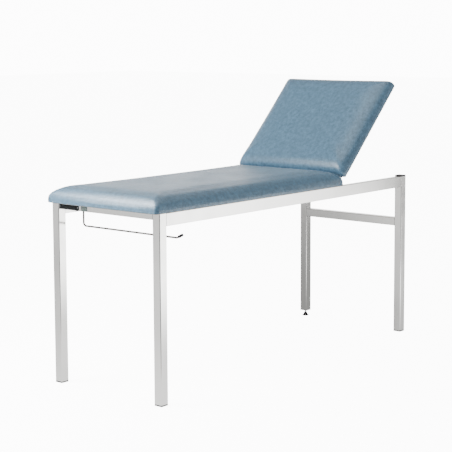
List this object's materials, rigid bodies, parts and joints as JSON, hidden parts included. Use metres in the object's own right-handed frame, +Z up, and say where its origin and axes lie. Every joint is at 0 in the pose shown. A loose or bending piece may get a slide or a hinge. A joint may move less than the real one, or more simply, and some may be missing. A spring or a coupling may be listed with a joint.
{
  "type": "two-section examination couch",
  "caption": "Fixed-height examination couch: square tube frame, padded body section, padded ratchet-hinged head section, couch-roll rod at the foot end and a levelling foot.",
  "frame": {"origin": "on the floor under the middle of the couch's overall box", "axes": "+X towards the head end, +Y to the side that carries the roll rod's bracket, +Z up"},
  "size_m": [1.725, 0.61, 1.1964],
  "materials": {
    "frame_steel": "satin",
    "black_plastic": "moulded",
    "zinc_steel": "zinc plated",
    "hinge_steel": "zinc plated",
    "spring_steel": "oiled",
    "rod_steel": "plated",
    "plywood": "sanded",
    "blue_vinyl": "coated fabric",
    "dark_plate": "matt",
    "grey_plate": "matt"
  },
  "bodies": {
    "frame": {"leg_foot_near": "frame_steel", "leg_foot_far": "frame_steel", "leg_head_near": "frame_steel", "leg_head_far": "frame_steel", "side_rail_near": "frame_steel", "side_rail_far": "frame_steel", "foot_cross_rail": "frame_steel", "head_cross_rail": "frame_steel", "middle_cross_rail": "frame_steel", "glide_foot_near": "black_plastic", "glide_foot_far": "black_plastic", "glide_head_near": "black_plastic", "cap_head_near": "black_plastic", "cap_head_far": "black_plastic", "leveller_insert": "black_plastic", "board_screws": "zinc_steel", "hinge_pin_near": "zinc_steel", "hinge_pin_far": "zinc_steel", "pawl_pin_near": "zinc_steel", "pawl_pin_far": "zinc_steel", "plate_bolts": "zinc_steel", "bracket_screws": "zinc_steel", "plate_rivets": "zinc_steel", "hinge_plate_near": "hinge_steel", "hinge_plate_far": "hinge_steel", "rod_bracket": "hinge_steel", "body_board": "plywood", "body_pad": "blue_vinyl", "long_blank_plate": "dark_plate", "short_blank_plate": "grey_plate"},
    "head_section": {"head_board": "plywood", "head_pad": "blue_vinyl", "hinge_arm_near": "hinge_steel", "hinge_arm_far": "hinge_steel", "arm_screws": "zinc_steel"},
    "pawls": {"pawl_near": "hinge_steel", "pawl_far": "hinge_steel", "release_bar": "hinge_steel", "pawl_spring_near": "spring_steel", "pawl_spring_far": "spring_steel"},
    "leveller_foot": {"leveller_foot": "black_plastic"},
    "leveller_spindle": {"leveller_spindle": "zinc_steel"},
    "roll_rod": {"roll_rod": "rod_steel", "rod_retainer": "zinc_steel", "rod_tip_cap": "black_plastic"}
  },
  "joints": [
    {"name": "head_tilt", "type": "hinge", "parent": "frame", "child": "head_section", "pos_m": [0.3325, 0, 0.734], "axis": [0, -1, 0], "range_deg": [-44.35, 14.78]},
    {"name": "pawl_release", "type": "hinge", "parent": "frame", "child": "pawls", "pos_m": [0.2913, 0, 0.73157], "axis": [0, -1, 0], "range_deg": [-6, 3.7], "stiffness_Nm_per_rad": 1.2, "springref_deg": 3.7},
    {"name": "roll_swivel", "type": "hinge", "parent": "frame", "child": "roll_rod", "pos_m": [-0.7075, 0.252, 0.7], "axis": [0, 0, 1], "range_deg": [-8, 90]},
    {"name": "leveller_height", "type": "slide", "parent": "frame", "child": "leveller_foot", "axis": [0, 0, 1], "range_m": [-0.01, 0.008]},
    {"name": "leveller_turn", "type": "hinge", "parent": "leveller_foot", "child": "leveller_spindle", "pos_m": [0.8435, 0.2785, 0.03], "axis": [0, 0, 1], "range_deg": [-2890, 2310]}
  ],
  "couplings": [
    {"joint": "leveller_turn", "follows": "leveller_height", "rad_per_m": 5026.6}
  ]
}
